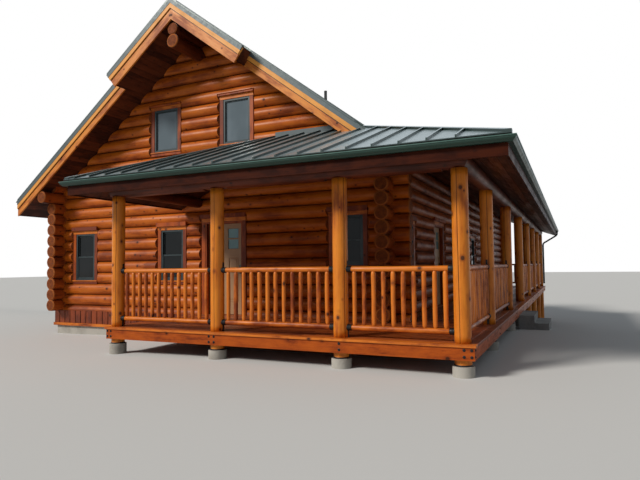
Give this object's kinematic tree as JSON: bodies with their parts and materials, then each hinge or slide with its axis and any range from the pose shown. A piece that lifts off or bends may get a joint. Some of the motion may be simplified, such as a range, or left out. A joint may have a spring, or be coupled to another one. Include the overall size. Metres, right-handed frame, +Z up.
{
  "type": "log cabin",
  "caption": "Full-log cabin with a steep metal gable roof, projecting ridge prows, and a hipped wrap-around porch with log posts, railings and side steps.",
  "frame": {"origin": "on the lowest ground, under the middle of the whole building's bounding box", "axes": "+Z up; +Y from the front gable to the rear, along the ridge; +X to the right seen from the front, towards the side porch"},
  "size_m": [12.51, 22.253, 8.596],
  "materials": {
    "wall_logs": "satin",
    "porch_logs": "satin",
    "concrete": "matte",
    "floor_wood": "satin",
    "roof_wood": "matte",
    "roof_metal": "satin",
    "vent_plastic": "matte",
    "trim_wood": "satin",
    "gutter_metal": "satin",
    "deck_wood": "matte",
    "bracket_metal": "matte",
    "frame_paint": "satin",
    "glass": "clear",
    "door_paint": "satin",
    "hardware": "satin"
  },
  "bodies": {
    "house": {"barge_boards": "trim_wood", "casings": "trim_wood", "corner_log_ends": "wall_logs", "deck_front": "deck_wood", "deck_joists": "trim_wood", "deck_rims": "trim_wood", "deck_side": "deck_wood", "entry_steps": "concrete", "fascia_boards": "trim_wood", "foundation": "concrete", "front_door_frame": "frame_paint", "front_gable": "wall_logs", "front_wall_left": "wall_logs", "front_wall_right": "wall_logs", "gutters": "gutter_metal", "left_wall": "wall_logs", "loft_floor": "floor_wood", "main_floor": "floor_wood", "main_metal_left": "roof_metal", "main_metal_right": "roof_metal", "main_roof_left": "roof_wood", "main_roof_right": "roof_wood", "piers": "concrete", "porch_beam_front": "porch_logs", "porch_beams_side": "porch_logs", "porch_metal": "roof_metal", "porch_posts": "porch_logs", "porch_roof_front": "roof_wood", "porch_roof_left": "roof_wood", "porch_roof_right": "roof_wood", "post_legs": "porch_logs", "rail_brackets": "bracket_metal", "railings_front": "porch_logs", "railings_side": "porch_logs", "rake_metal": "roof_metal", "rear_gable": "wall_logs", "rear_wall": "wall_logs", "ridge_logs": "porch_logs", "right_wall_front": "wall_logs", "right_wall_rear": "wall_logs", "right_wall_top": "wall_logs", "roof_caps": "roof_metal", "side_door_frame": "frame_paint", "skirt_boards": "trim_wood", "vent_pipe": "vent_plastic", "wall_flashing": "roof_metal", "window_frames": "frame_paint", "window_glass": "glass"},
    "front_door": {"front_door_glass": "glass", "front_door_knobs": "hardware", "front_door_leaf": "door_paint"},
    "side_door": {"side_door_glass": "glass", "side_door_knobs": "hardware", "side_door_leaf": "door_paint"}
  },
  "joints": [
    {"name": "front_door_hinge", "type": "hinge", "parent": "house", "child": "front_door", "pos_m": [-0.7235, -7.6837, 1.65], "axis": [0, 0, 1], "range_deg": [0, 90]},
    {"name": "side_door_hinge", "type": "hinge", "parent": "house", "child": "side_door", "pos_m": [3.5177, -4.2305, 1.65], "axis": [0, 0, 1], "range_deg": [0, 90]}
  ]
}
